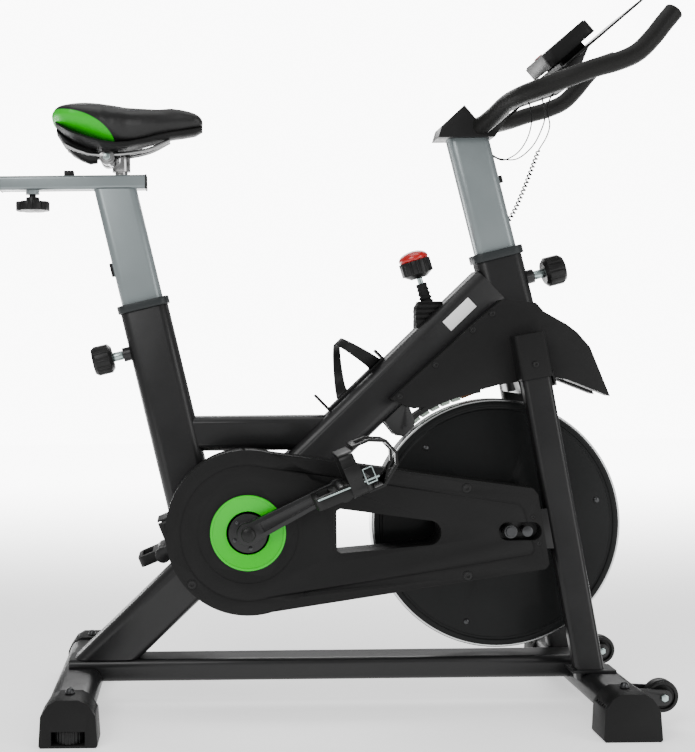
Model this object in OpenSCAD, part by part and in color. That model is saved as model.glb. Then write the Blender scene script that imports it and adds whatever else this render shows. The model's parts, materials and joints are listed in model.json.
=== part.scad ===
// Indoor cycling bike. Millimetres. +X front, +Y the rider's left, +Z up, floor at Z = 0.
// Positions named *_x are measured from the bottom bracket axis; bike() moves the whole
// object so that its length is centred on the origin.

/* [Overall] */
// Width of the two floor bars over their end caps
stance_width = 490; // [400:5:600]
// Distance from the bottom bracket to the rear floor bar
rear_reach = 294; // [260:2:340]
// Distance from the bottom bracket to the front floor bar
front_reach = 604; // [570:2:640]
// Height of the bottom bracket above the floor
bracket_height = 320; // [310:1:330]

/* [Frame] */
// Angle of the main beam above the floor
beam_angle = 43.4; // [42:0.1:45]
// Depth of the main beam
beam_depth = 79; // [70:1:88]
// Width of the main beam
beam_width = 70; // [60:1:76]
// Lean of the seat tube
seat_lean = 13; // [11:0.5:15]
// Lean of the handlebar tube
front_lean = 13.5; // [12:0.5:15]
// Lean of the fork legs
fork_lean = 9.7; // [8:0.1:11]
// Wall thickness of the frame tubes
tube_wall = 3; // [2:0.5:4]
// Depth of the seat post
seat_post_depth = 74; // [66:1:78]
// Depth of the handlebar post
front_post_depth = 72; // [64:1:76]
// Width of both posts
post_width = 40; // [32:1:44]
// Gap on each side of a sliding post
slide_gap = 0.5; // [0.3:0.1:1]

/* [Drive] */
// Diameter of the flywheel
flywheel_diameter = 440; // [360:2:446]
// Width of the flywheel rim
flywheel_width = 36; // [28:1:44]
// Distance from the bottom bracket to the flywheel axle
wheelbase = 443; // [430:1:456]
// Height of the flywheel axle
flywheel_height = 318; // [305:1:330]
// Crank length from axle to pedal spindle
crank_length = 170; // [150:1:180]
// Angle of the right crank above the floor line
crank_angle = 27; // [0:1:90]
// Radius of the crank pulley
crank_pulley_r = 100; // [80:1:110]
// Radius of the flywheel pulley
wheel_pulley_r = 25; // [20:1:30]
// Gap between the flywheel rim and the brake magnets
brake_gap = 6; // [4:0.5:10]
// Clearance of each turning shaft in its bore
shaft_gap = 0.05; // [0.01:0.01:0.1]

/* [Guard] */
// Outer radius of the belt guard round the bottom bracket
guard_r = 140; // [128:1:150]
// Wall of the belt guard shells
guard_wall = 3; // [2:0.5:4]
// Outer radius of the coloured ring
ring_r = 64; // [54:1:76]

/* [Seat] */
// Length of the saddle
saddle_length = 270; // [240:2:320]
// Width of the saddle at the rear
saddle_width = 180; // [150:2:220]
// Length of the saddle slider tube
slider_length = 258; // [250:2:300]

/* [Handlebar] */
// Diameter of the handlebar grips
grip_diameter = 31; // [26:0.5:36]
// Half width of the handlebar at the grip centres
grip_half_width = 204; // [180:2:240]

/* [Hidden] */

black = [0.03, 0.03, 0.035];
steel_grey = [0.60, 0.63, 0.65];
plastic_dark = [0.10, 0.10, 0.10];
collar_grey = [0.20, 0.23, 0.24];
green = [0.25, 0.78, 0.13];
zinc = [0.62, 0.70, 0.70];
chrome = [0.80, 0.80, 0.82];
rubber = [0.05, 0.05, 0.05];
red = [0.75, 0.04, 0.03];
magnet_grey = [0.68, 0.73, 0.68];

// gap kept between parts that move past each other
clear = 0.5;

bb_z = bracket_height;
fly_r = flywheel_diameter / 2;
base_low = 47;
base_top = 86;
half_stance = stance_width / 2;

// seat post axis: a point where it leaves the collar
seat_x = -176;
seat_z = 704;
post_r = 14;
sleeve_wall = 5.5;
seat_depth = seat_post_depth + 2 * (sleeve_wall + slide_gap);
post_out = 220;
post_in = 240;

// handlebar post axis: a point where it leaves the collar
front_x = 454;
front_z = 787;
front_depth = front_post_depth + 2 * (sleeve_wall + slide_gap);
front_out = 222;
sleeve_width = post_width + 2 * (sleeve_wall + slide_gap);

// fork
fork_x = 499;
fork_z = 575;
fork_y = 80;
fork_w = 30;
fork_depth = 50;

// slider tube on the seat post
slider_front = -171.5;
slider_rear = slider_front - slider_length;
slider_low = 917;
slider_high = 942;
slider_w = 40;
slider_wall = 2.5;
carriage_front = -192;
carriage_rear = -385;
pole_x = -214.5;
pole_r = 11;
tilt_x = -238.5;
tilt_z = 972;
slider_knob_x = -373.5;
slot_front = pole_x + 15 + pole_r + 2;
slot_rear = pole_x - 45 - pole_r - 2;

// saddle
saddle_nose = -64.5;
saddle_rear = saddle_nose - saddle_length;

// grips
grip_r = grip_diameter / 2;
grip_end_x = 697;
grip_end_z = 1172;
front_limit = grip_end_x + grip_r * 0.76;
mid_x = (slider_rear + front_limit) / 2;

// belt guard layers, measured from the mid-plane towards the right side
guard_in = 58;
guard_mid = 88;
guard_out = 119;
pulley_low = 66;
pulley_high = 82;
plate_in = 85;
plate_out = 91;
belt_t = 3;
belt_gap = 0.4;

crank_in = 125;
crank_out = 139;
pedal_mid = 190;
pedal_len = 88;
pedal_in = pedal_mid - pedal_len / 2;
pedal_out = pedal_mid + pedal_len / 2;
spindle_r = 6;
axle_r = 9;
fly_axle_r = 8;

// resistance rod
rod_lean = 16.6;
rod_x = 309.5;
rod_z = 773;
rod_r = 5;
rod_len = 233.5;
housing_top = 712;
pivot_x = 283;
pivot_z = 489;

wire_d = 2.4;
curl_d = 9;

// routes of the thin cords (X, Y, Z before the shift)
wire_right = [[488, -177, 1038], [500, -152, 1016], [503, -122, 998], [499, -76, 975], [483, -34, 960], [460, -10, 964], [446, -9, 971]];
wire_left = [[512, 6, 1078], [521, 7, 1044], [515, 8, 1008], [497, 9, 979], [472, 10, 965], [456, 10, 969], [445, 10, 976]];
lead_route = [[586, 0, 1122], [570, 0, 1098], [551, 0, 1070], [547, 0, 1048], [551, 0, 1026], [545, 0, 1004], [531, 0, 981]];
curl_route = [[531, 0, 981], [516, 0, 942], [501, 0, 905], [487, 0, 874], [474, 0, 852]];

// centre line of half the handlebar (X, distance from the mid-plane, Z)
bar_half = [[412, 0, 1017], [419, 22, 1018], [436, 58, 1031], [450, 100, 1045], [466, 142, 1051], [492, grip_half_width - 26, 1057],
  [526, grip_half_width - 6, 1067], [565, grip_half_width, 1080], [605, grip_half_width, 1091], [636, grip_half_width, 1105],
  [660, grip_half_width, 1128], [678, grip_half_width - 1, 1150], [grip_end_x, grip_half_width - 4, grip_end_z]];

// ---------- helpers ----------

module bike() translate([-mid_x, 0, 0]) children();

// a drawing in X and Z, made w thick round the plane Y = y
module side(y, w) translate([0, y + w / 2, 0]) rotate([90, 0, 0]) linear_extrude(w) children();

// a drawing in X and Z from y0 to y1
module slab(y0, y1) side((y0 + y1) / 2, abs(y1 - y0)) children();

// local Z leans towards +X by a, about a point in the mid-plane
module at(x, z, a, y = 0) translate([x, y, z]) rotate([0, a, 0]) children();

// cylinder along Y from y0 to y1
module across(x, z, y0, y1, r) translate([x, max(y0, y1), z]) rotate([90, 0, 0]) cylinder(r = r, h = abs(y1 - y0));

module rounded(a, b, r) {
  square([a - 2 * r, b], center = true);
  square([a, b - 2 * r], center = true);
  for (i = [-1, 1], j = [-1, 1]) translate([i * (a / 2 - r), j * (b / 2 - r)]) circle(r);
}

module bar(a, b, r, z0, z1) translate([0, 0, z0]) linear_extrude(z1 - z0) rounded(a, b, r);

module pipe(a, b, r, z0, z1, wall) difference() {
  bar(a, b, r, z0, z1);
  translate([0, 0, z0 - 1]) linear_extrude(z1 - z0 + 2) rounded(a - 2 * wall, b - 2 * wall, max(r - wall, 1));
}

module screw_head(x, z, y0, y1, r) difference() {
  across(x, z, y0, y1, r);
  across(x, z, y1 + (y0 > y1 ? -1 : 1), y1 + (y0 > y1 ? 1.5 : -1.5), r * 0.45);
}

// sweep of a round section along a smooth line through the given points
function bez(a, b, c, d, t) = 0.5 * ((2 * b) + (c - a) * t + (2 * a - 5 * b + 4 * c - d) * t * t + (3 * b - a - 3 * c + d) * t * t * t);
function smooth(p, n) = let (m = len(p) - 1) [for (i = [0 : m - 1], k = [0 : n - 1])
  bez(i == 0 ? 2 * p[0] - p[1] : p[i - 1], p[i], p[i + 1], i + 2 > m ? 2 * p[m] - p[m - 1] : p[i + 2], k / n), p[m]];
function unit(v) = v / norm(v);
function heading(p, i) = let (m = len(p) - 1) unit(i == 0 ? p[1] - p[0] : i == m ? p[m] - p[m - 1] : unit(p[i + 1] - p[i]) + unit(p[i] - p[i - 1]));
function level(v, t) = unit(v - (v * t) * t);
function normals(p, v, i = 0) = i == len(p) ? [] : let (w = level(v, heading(p, i))) concat([w], normals(p, w, i + 1));

module sweep(p, d, sides, start = [0, 0, 1]) {
  m = len(p);
  u = normals(p, start);
  pts = [for (i = [0 : m - 1], k = [0 : sides - 1]) let (t = heading(p, i), v = cross(t, u[i]))
    p[i] + (u[i] * cos(360 * k / sides) + v * sin(360 * k / sides)) * d / 2];
  walls = [for (i = [0 : m - 2], k = [0 : sides - 1]) let (n = (k + 1) % sides, a = i * sides + k, b = i * sides + n)
    each [[a, a + sides, b], [b, a + sides, b + sides]]];
  polyhedron(concat(pts, [p[0], p[m - 1]]), concat(walls,
    [for (k = [0 : sides - 1]) [m * sides, k, (k + 1) % sides]],
    [for (k = [0 : sides - 1]) [m * sides + 1, (m - 1) * sides + (k + 1) % sides, (m - 1) * sides + k]]), convexity = 6);
}

// ---------- frame ----------

// the beam runs from inside the base tube to just short of the handlebar tube's axis
beam_slope = tan(beam_angle);
beam_low = -(bb_z - base_low) / sin(beam_angle) - 23;
beam_high = (front_x + (front_z - bb_z) * tan(front_lean)) / (1 + beam_slope * tan(front_lean)) / cos(beam_angle) - 30;
function beam_z(x) = bb_z + x * beam_slope;
module beam_shape() at(0, bb_z, 90 - beam_angle) bar(beam_depth, beam_width, 18, beam_low, beam_high);
module seat_shape() at(seat_x, seat_z, -seat_lean) bar(seat_depth, sleeve_width, post_r + 4, -450, 0);
module head_shape() at(front_x, front_z, -front_lean) bar(front_depth, sleeve_width, post_r + 4, -234, 0);
module brake_axis() at(rod_x, rod_z, -rod_lean) children();
module floor_cut(z) translate([-600, -400, z - 900]) cube([1500, 800, 900]);
module fork_shape(s) at(fork_x, fork_z, -fork_lean, s * fork_y) bar(fork_depth, fork_w, 9, -560, 0);

module main_beam() color(black) bike() {
  pivot_bracket();
  across(pivot_x, pivot_z, -23, 23, 5);
  // bottom bracket shell
  difference() { union() { across(0, bb_z, -guard_in, 44, 24); across(0, bb_z, -guard_in, -guard_in + 3, 35); } across(0, bb_z, -80, 60, axle_r + shaft_gap); }
  difference() {
  beam_shape();
  at(0, bb_z, 90 - beam_angle) bar(beam_depth - 2 * tube_wall, beam_width - 2 * tube_wall, 15, beam_low - 10, beam_high + 5);
  floor_cut(base_top);
  head_shape();
  across(0, bb_z, -60, 60, 24);
  brake_axis() translate([0, 0, -260]) cylinder(r = rod_r + 7, h = 300);
  }
}

module seat_tube() color(black) bike() difference() {
  union() {
    seat_shape();
    at(seat_x, seat_z, -seat_lean) translate([-seat_depth / 2 + 1, 0, -71]) rotate([0, -90, 0]) cylinder(r = 12.5, h = 14);
  }
  at(seat_x, seat_z, -seat_lean) bar(seat_post_depth + 2 * slide_gap, post_width + 2 * slide_gap, post_r, -460, 1);
  at(seat_x, seat_z, -seat_lean) translate([-seat_depth / 2 + 12, 0, -71]) rotate([0, -90, 0]) cylinder(r = 6 + clear, h = 40);
  beam_shape();
}

cross_start = -110;
cross_z = 481;
cross_end = (cross_z - bb_z) / beam_slope - 5;
module cross_bar(d) translate([cross_start - d, 0, cross_z]) rotate([0, 90, 0]) linear_extrude(cross_end - cross_start + 2 * d) rounded(62 - 2 * d, 44 - 2 * d, 14 - d);
module cross_tube() color(black) bike() difference() {
  cross_bar(0);
  cross_bar(tube_wall);
  seat_shape();
  beam_shape();
  at(seat_x, seat_z, -seat_lean) translate([-100 - seat_depth / 2, -50, -460]) cube([100, 100, 460]);
}

module crown_box(depth, width, height) at(front_x, front_z, -front_lean) translate([0, 0, -226]) cube([depth, width, height], center = true);
module head_tube() color(black) bike() difference() {
  union() {
    head_shape();
    at(front_x, front_z, -front_lean) translate([front_depth / 2 - 1, 0, -45]) rotate([0, 90, 0]) cylinder(r = 12.5, h = 14);
    // crown across the fork
    difference() {
      crown_box(64, 2 * (fork_y - fork_w / 2), 24);
      crown_box(56, 2 * fork_y, 16);
    }
  }
  at(front_x, front_z, -front_lean) bar(front_post_depth + 2 * slide_gap, post_width + 2 * slide_gap, post_r, -190, 1);
  at(front_x, front_z, -front_lean) translate([front_depth / 2 - 12, 0, -45]) rotate([0, 90, 0]) cylinder(r = 6 + clear, h = 40);
}

module fork_leg(s) difference() {
  union() {
    fork_shape(s);
    // dropout plate that carries the flywheel axle
    slab(s * plate_in, s * plate_out) polygon([[wheelbase - 18, flywheel_height - 28], [wheelbase - 18, flywheel_height + 28],
      [wheelbase + 66, flywheel_height + 34], [wheelbase + 90, flywheel_height + 34], [wheelbase + 90, flywheel_height - 34], [wheelbase + 66, flywheel_height - 34]]);
    // foot plate
    translate([front_reach - 52, s * fork_y - 22, bar_z + bar_h / 2]) cube([74, 44, 5]);
  }
  at(fork_x, fork_z, -fork_lean, s * fork_y) bar(fork_depth - 2 * tube_wall, fork_w - 2 * tube_wall, 6, -570, -tube_wall);
  floor_cut(bar_z + 8);
  stabilizer_shape(front_reach);
  across(wheelbase, flywheel_height, -120, 120, fly_axle_r);
}
module fork_leg_right() color(black) bike() fork_leg(-1);
module fork_leg_left() color(black) bike() fork_leg(1);

module base_tube() color(black) bike() difference() {
  translate([-rear_reach - 20, 0, (base_low + base_top) / 2]) rotate([0, 90, 0]) linear_extrude(rear_reach + front_reach + 40) rounded(base_top - base_low, 70, 10);
  translate([-rear_reach - 40, 0, (base_low + base_top) / 2]) rotate([0, 90, 0]) linear_extrude(rear_reach + front_reach + 80)
    rounded(base_top - base_low - 2 * tube_wall, 70 - 2 * tube_wall, 7);
  for (x = [-rear_reach, front_reach]) stabilizer_shape(x);
}

bar_z = 50;
bar_w = 76;
bar_h = 44;
cap_len = 62;
module stabilizer_shape(x) translate([x, -half_stance + 20, bar_z]) rotate([-90, 0, 0]) linear_extrude(stance_width - 40) rounded(bar_w, bar_h, 20);
module stabilizer(x) difference() {
  stabilizer_shape(x);
  translate([x, -half_stance, bar_z]) rotate([-90, 0, 0]) linear_extrude(stance_width) rounded(bar_w - 2 * tube_wall, bar_h - 2 * tube_wall, 17);
}
module rear_stabilizer() color(black) bike() stabilizer(-rear_reach);
module front_stabilizer() color(black) bike() { stabilizer(front_reach); wheel_brackets(); }

cap_w = 94;
cap_h = 76;
module cap_shape(x, s) difference() {
  slab(s * (half_stance - cap_len), s * half_stance) polygon([[x - cap_w / 2, 3], [x - cap_w / 2 + 3, 0], [x + cap_w / 2 - 3, 0], [x + cap_w / 2, 3],
    [x + cap_w / 2 - 3, 50], [x + 32, 68], [x + 18, cap_h], [x - 18, cap_h], [x - 32, 68], [x - cap_w / 2 + 3, 50]]);
  // seat of the floor bar
  slab(s * (half_stance - 20), s * (half_stance - cap_len - 1)) translate([x, bar_z]) rounded(bar_w, bar_h, 20);
  // grip ribs on the shoulders
  for (k = [0 : 4]) slab(s * (half_stance - 14 - 9 * k), s * (half_stance - 10 - 9 * k)) {
    translate([x - cap_w / 2, 58]) rotate(-38) square([26, 4], center = true);
    translate([x + cap_w / 2, 58]) rotate(38) square([26, 4], center = true);
  }
}
lev_r = 24;
lev_low = 5;
lev_high = 25;
lev_y = half_stance - lev_r - 1;
module end_caps() color(plastic_dark) bike() for (s = [-1, 1]) {
  cap_shape(front_reach, s);
  difference() {
    cap_shape(-rear_reach, s);
    // pocket of the levelling wheel
    translate([-rear_reach, s * lev_y, lev_low - 1]) cylinder(r = lev_r + 3, h = lev_high - lev_low + 2);
    translate([-rear_reach, s * lev_y, -1]) cylinder(r = 5 + clear, h = 28.5);
    translate([-rear_reach - lev_r - 3, s > 0 ? lev_y : -half_stance - 1, lev_low - 1]) cube([2 * lev_r + 6, half_stance - lev_y + 1, lev_high - lev_low + 2]);
  }
}

module frame_fasteners() color(zinc) bike() {
  // axle nut and washer, tensioner bolt and its head in the slot
  difference() { across(wheelbase, flywheel_height, -116, -124, 11); across(wheelbase, flywheel_height, -110, -130, fly_axle_r); }
  across(wheelbase + 29, flywheel_height, -plate_out, -118, 6);
  across(wheelbase + 29, flywheel_height, -118, -121, 9);
  for (x = [-rear_reach, front_reach], s = [-1, 1]) translate([x, s * (half_stance - 40), cap_h]) {
    cylinder(r = 8, h = 3);
    difference() { translate([0, 0, 3]) intersection() { sphere(7); cylinder(r = 8, h = 6); } translate([0, 0, 5]) cylinder(r = 2.5, h = 6); }
  }
}

module post_collars() color(collar_grey) bike() {
  at(seat_x, seat_z, -seat_lean) difference() {
    bar(seat_depth + 8, sleeve_width + 8, post_r + 6, 0, 14);
    bar(seat_post_depth + 2 * slide_gap, post_width + 2 * slide_gap, post_r, -1, 15);
  }
  at(front_x, front_z, -front_lean) difference() {
    bar(front_depth + 8, sleeve_width + 8, post_r + 6, 0, 15);
    bar(front_post_depth + 2 * slide_gap, post_width + 2 * slide_gap, post_r, -1, 16);
  }
}

// ---------- drive covers ----------

module guard_outline(d = 0) {
  translate([0, bb_z]) circle(guard_r - d);
  polygon([[-guard_r * 0.02, bb_z + guard_r - d], [126, bb_z + guard_r - 18 - d], [wheelbase + 40 - d, flywheel_height + 72 - d], [wheelbase + 48 - d, flywheel_height + 62 - d],
    [wheelbase + 66 - d, flywheel_height - 56 + d], [wheelbase + 60 - d, flywheel_height - 64 + d], [211, 211 + d], [0, bb_z - guard_r + d]]);
}
module window_outline(d = 0) {
  polygon([[150 - d, 288 - d], [150 - d, 355 + d], [156, 359 + d], [306, 338 + d], [306, 296 - d], [156, 284 - d]]);
  translate([306, 317]) circle(21 + d);
}
slot_low = flywheel_height - 15.5;
module slot_outline(d = 0) {
  x0 = wheelbase - 4;
  x1 = wheelbase + 38;
  translate([x0, slot_low + 15.5]) circle(15.5 + d);
  translate([x1, slot_low + 15.5]) circle(15.5 + d);
  translate([x0, slot_low - d]) square([x1 - x0, 31 + 2 * d]);
}
plugs = [[-95.5, 234, 8], [370.5, 392, 8], [370.5, 244, 8], [481.5, 342, 4], [491.5, 298, 4]];

module belt_guard_outer() color(plastic_dark) bike() difference() {
  slab(-guard_mid, -guard_out) guard_outline();
  slab(-guard_mid + 1, -guard_out + guard_wall) difference() {
    guard_outline(guard_wall);
    window_outline(guard_wall);
    slot_outline(guard_wall);
  }
  slab(-guard_mid + 1, -guard_out - 1) { window_outline(); slot_outline(); translate([0, bb_z]) circle(36.6); }
  // shallow groove that follows the rim, and the dish round the crank
  slab(-guard_out - 1, -guard_out + 1) difference() { guard_outline(24); guard_outline(27); window_outline(8); }
  slab(-guard_out - 1, -guard_out + 1.5) difference() { translate([0, bb_z]) circle(86); translate([0, bb_z]) circle(ring_r + 2); }
  for (p = plugs) across(p[0], p[1], -guard_out - 1, -guard_out + 1.5, p[2]);
  plate_notch();
}
// room for the dropout plate inside the guard
module plate_notch() translate([wheelbase - 22, -plate_out - 2, flywheel_height - 40]) cube([114, plate_out - plate_in + 4, 80]);

module belt_guard_inner() color(plastic_dark) bike() difference() {
  slab(-guard_in, -guard_mid + 0.8) guard_outline(0.6);
  slab(-guard_in - guard_wall, -guard_mid - 1) difference() {
    guard_outline(guard_wall);
    window_outline(guard_wall);
  }
  slab(-guard_in + 1, -guard_mid - 1) { window_outline(); slot_outline(); translate([0, bb_z]) circle(30); translate([wheelbase, flywheel_height]) circle(wheel_pulley_r + 6); }
  plate_notch();
}

module guard_ring() color(green) bike() difference() {
  across(0, bb_z, -guard_out, -guard_out - 3.5, ring_r);
  across(0, bb_z, -guard_out + 1, -guard_out - 5, 36.6);
  across(0, bb_z, -guard_out - 2, -guard_out - 5, ring_r - 4);
  slab(-guard_out, -guard_out - 1) translate([0, bb_z]) difference() { circle(ring_r - 6); circle(42); }
}

shroud_out = 60;
fork_gap = 0.5;
channel_out = fork_y - 2 + (fork_w + 8) / 2;
module shroud_outline() polygon([[253, 541], [300, 583], [360, 636], [426, 694], [448, 712], [507, 706], [520, 691], [560, 668], [578, 654], [600, 628],
  [634, 542], [600, 556], [560, 572], [534, 576], [482, 570], [442, 564], [374, 546], [319, 527], [292, 524]]);
module head_shroud() color(plastic_dark) bike() for (s = [-1, 1]) difference() {
  union() {
    slab(s * 28, s * shroud_out) shroud_outline();
    // raised channel that carries on the line of the fork leg
    at(fork_x, fork_z, -fork_lean, s * (channel_out - (fork_w + 8) / 2)) bar(fork_depth + 4, fork_w + 8, 7, fork_gap, 78);
  }
  slab(s * 27, s * (shroud_out - 3)) shroud_inset();
  beam_shape();
  at(front_x, front_z, -front_lean) bar(front_depth + 1, sleeve_width + 1, post_r + 4, -240, 30);
  crown_box(65, 2 * fork_y, 25);
  brake_axis() translate([0, 0, -300]) cylinder(r = 30, h = 600);
}
module shroud_inset() polygon([[262, 541], [300, 577], [362, 631], [428, 689], [450, 706], [505, 701], [518, 687], [557, 664], [575, 650], [596, 626],
  [626, 549], [600, 560], [561, 576], [534, 580], [481, 574], [441, 568], [373, 550], [318, 531], [292, 528]]);

shroud_screws = [[268, 546], [331, 600], [396, 660], [430, 688]];
module cover_screws() color(black) bike() {
  for (p = plugs) screw_head(p[0], p[1], -guard_out + 1.5, -guard_out - 0.5, p[2] - 0.4);
  for (p = shroud_screws, s = [-1, 1]) screw_head(p[0], p[1], s * shroud_out, s * (shroud_out + 2), 5);
  for (s = [-1, 1]) at(fork_x, fork_z, -fork_lean) screw_head(0, 25, s * channel_out, s * (channel_out + 2), 5);
}

module drive_belt() color(rubber) bike() {
  // one flat loop round both pulleys
  dx = wheelbase;
  dz = flywheel_height - bb_z;
  ra = crank_pulley_r + belt_gap;
  rb = wheel_pulley_r + belt_gap;
  d = sqrt(dx * dx + dz * dz);
  q = acos((ra - rb) / d);
  slab(-pulley_low - 3, -pulley_high + 3) translate([0, bb_z]) rotate(atan2(dz, dx)) difference() {
    loop_outline(ra + belt_t, rb + belt_t, d, q);
    loop_outline(ra, rb, d, q);
  }
}
module loop_outline(ra, rb, d, q) {
  circle(ra);
  translate([d, 0]) circle(rb);
  polygon([[ra * cos(q), ra * sin(q)], [d + rb * cos(q), rb * sin(q)], [d + rb * cos(q), -rb * sin(q)], [ra * cos(q), -ra * sin(q)]]);
}

// ---------- brake ----------

module brake_housing() color(plastic_dark) bike() difference() {
  slab(-17, 17) polygon([[306, 650], [306, 700], [312, housing_top], [350, housing_top], [366, 700], [366, 650]]);
  beam_shape();
  brake_axis() translate([0, 0, -300]) cylinder(r = rod_r + clear, h = 400);
  // cooling fins
  for (k = [0 : 3]) for (s = [-1, 1]) slab(s * 13, s * 18) translate([304, 706 - 9 * k]) square([64, 4]);
}

module brake_bellows() color(rubber) bike() difference() {
  brake_axis() for (k = [0 : 4]) translate([0, 0, 7.6 * k - 68]) { cylinder(r1 = 9, r2 = 12.5 - k * 0.6, h = 3.8); translate([0, 0, 3.8]) cylinder(r1 = 12.5 - k * 0.6, r2 = 9, h = 3.8); }
  brake_axis() translate([0, 0, -80]) cylinder(r = rod_r + clear, h = 120);
  translate([250, -50, housing_top - 100]) cube([150, 100, 100]);
}

module brake_rod() color(chrome) bike() brake_axis() {
  translate([0, 0, -rod_len]) cylinder(r = rod_r, h = rod_len - 12);
  translate([0, 0, -rod_len]) cylinder(r = 9, h = 10);
}

module brake_knob() color(black) bike() brake_axis() {
  difference() {
    union() {
      translate([0, 0, -12]) cylinder(r = 28, h = 24);
      translate([0, 0, -20]) cylinder(r1 = 14, r2 = 26, h = 8);
    }
    for (a = [0 : 30 : 330]) rotate(a) translate([29.5, 0, -14]) cylinder(r = 4, h = 30);
    translate([0, 0, -21]) cylinder(r = rod_r + shaft_gap, h = 9.1);
  }
  translate([0, 0, 12]) intersection() { translate([0, 0, -26]) sphere(34); cylinder(r = 22, h = 12); }
}

arm_in = fly_r + brake_gap;
module arc_band(r0, r1, a0, a1, y0, y1) translate([wheelbase, 0, flywheel_height]) rotate([90, 0, 0]) translate([0, 0, -max(y0, y1)])
  rotate([0, 0, a0]) rotate_extrude(angle = a1 - a0) translate([r0, 0]) square([r1 - r0, abs(y1 - y0)]);

function on_arc(r, a) = [wheelbase + r * cos(a), flywheel_height + r * sin(a)];
module brake_arm() color(black) bike() difference() {
  union() {
    arc_band(arm_in + 6, arm_in + 14, 96, 132, -17, 17);
    across(pivot_x, pivot_z, -15, 15, 11);
    slab(-15, 15) polygon([[pivot_x - 8, pivot_z + 6], [pivot_x + 6, pivot_z - 9], on_arc(arm_in + 7, 126), on_arc(arm_in + 13, 124)]);
  }
  across(pivot_x, pivot_z, -30, 30, 5 + shaft_gap);
  arc_band(arm_in - 3, arm_in + 6, 100, 129.5, -40, 40);
}
module brake_magnets() color(magnet_grey) bike()
  for (a = [107 : 5 : 127]) arc_band(arm_in, arm_in + 6, a - 1.9, a + 1.9, -15, 15);

module pivot_bracket() difference() {
  for (s = [-1, 1]) slab(s * 17, s * 21) polygon([[pivot_x - 17, pivot_z - 14], [pivot_x + 14, pivot_z - 18], [pivot_x + 18, pivot_z + 12], [pivot_x - 8, beam_z(pivot_x - 8) - 11], [pivot_x - 60, beam_z(pivot_x - 60) - 2]]);
  beam_shape();
  across(wheelbase, flywheel_height, -60, 60, fly_r + 4);
}

// ---------- bottle holder ----------

hold_z = 246;
hoop_r = 38;
hold_len = 136;
module bottle_cage() color(plastic_dark) bike() at(0, bb_z, 90 - beam_angle) translate([-beam_depth / 2, 0, hold_z]) {
  translate([-4.5, -14, 0]) cube([4.5, 28, hold_len]);
  // one band that leaves the plate high on the right side and comes back low on the left
  translate([-hoop_r - 4, 0, 0]) intersection() {
    difference() { cylinder(r = hoop_r, h = 140); translate([0, 0, -1]) cylinder(r = hoop_r - 3, h = 142); }
    union() {
      slab(-hoop_r - 1, 0) polygon([[-hoop_r - 1, 90], [hoop_r + 1, 104], [hoop_r + 1, 130], [-hoop_r - 1, 106]]);
      slab(0, hoop_r + 1) polygon([[-hoop_r - 1, 90], [-hoop_r - 1, 106], [hoop_r + 1, 48], [hoop_r + 1, 24]]);
    }
  }
  translate([-38, -17, 0]) cube([34, 34, 4]);
  translate([-22, -10, hold_len - 4]) cube([18, 20, 4]);
}

// ---------- transport wheels and levellers ----------

roll_x = front_reach + 76;
roll_z = 50;
roll_r = 27;
roll_y = 157;
roll_w = 22;
module wheel_brackets() for (s = [-1, 1]) {
  difference() {
    for (k = [-1, 1]) slab(s * roll_y + k * 13, s * roll_y + k * 17) {
      translate([roll_x, roll_z]) circle(13);
      polygon([[front_reach + 20, roll_z - 16], [front_reach + 20, roll_z + 16], [roll_x, roll_z + 13], [roll_x, roll_z - 13]]);
    }
    stabilizer_shape(front_reach);
  }
  across(roll_x, roll_z, s * roll_y - 20, s * roll_y + 20, 4);
}
module transport_wheel(s) difference() {
  union() {
    across(roll_x, roll_z, s * roll_y - roll_w / 2, s * roll_y + roll_w / 2, roll_r - 2);
    across(roll_x, roll_z, s * roll_y - roll_w / 2 + 3, s * roll_y + roll_w / 2 - 3, roll_r);
  }
  for (k = [-1, 1]) across(roll_x, roll_z, s * roll_y + k * 6, s * roll_y + k * 12, roll_r - 7);
  across(roll_x, roll_z, s * roll_y - 20, s * roll_y + 20, 4 + shaft_gap);
}
module transport_wheel_right() color(rubber) bike() transport_wheel(-1);
module transport_wheel_left() color(rubber) bike() transport_wheel(1);

module leveller(s) translate([-rear_reach, s * lev_y, 0]) {
  difference() {
    translate([0, 0, lev_low]) cylinder(r = lev_r, h = lev_high - lev_low);
    for (a = [0 : 15 : 345]) rotate(a) translate([lev_r + 1, 0, lev_low - 1]) cylinder(r = 2.2, h = lev_high - lev_low + 2);
  }
  translate([0, 0, 1]) cylinder(r = 5, h = 25.5);
}
module leveller_right() color(plastic_dark) bike() leveller(-1);
module leveller_left() color(plastic_dark) bike() leveller(1);

// ---------- drive ----------

module flywheel_axle() color(zinc) bike() across(wheelbase, flywheel_height, -126, 104, fly_axle_r);

hub_r = 18;
rim_depth = 25;
web_t = 6;
disc_t = 2.5;
module flywheel() color(chrome) bike() translate([wheelbase, 0, flywheel_height]) rotate([90, 0, 0]) rotate_extrude()
  polygon([[fly_axle_r + shaft_gap, -plate_in + 1], [hub_r, -plate_in + 1], [hub_r, -web_t / 2], [fly_r - rim_depth, -web_t / 2], [fly_r - rim_depth, -flywheel_width / 2], [fly_r - 1.5, -flywheel_width / 2], [fly_r, -flywheel_width / 2 + 1.5],
    [fly_r, flywheel_width / 2 - 1.5], [fly_r - 1.5, flywheel_width / 2], [fly_r - rim_depth, flywheel_width / 2], [fly_r - rim_depth, web_t / 2], [hub_r, web_t / 2], [hub_r, plate_in - 1], [fly_axle_r + shaft_gap, plate_in - 1]]);

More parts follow.
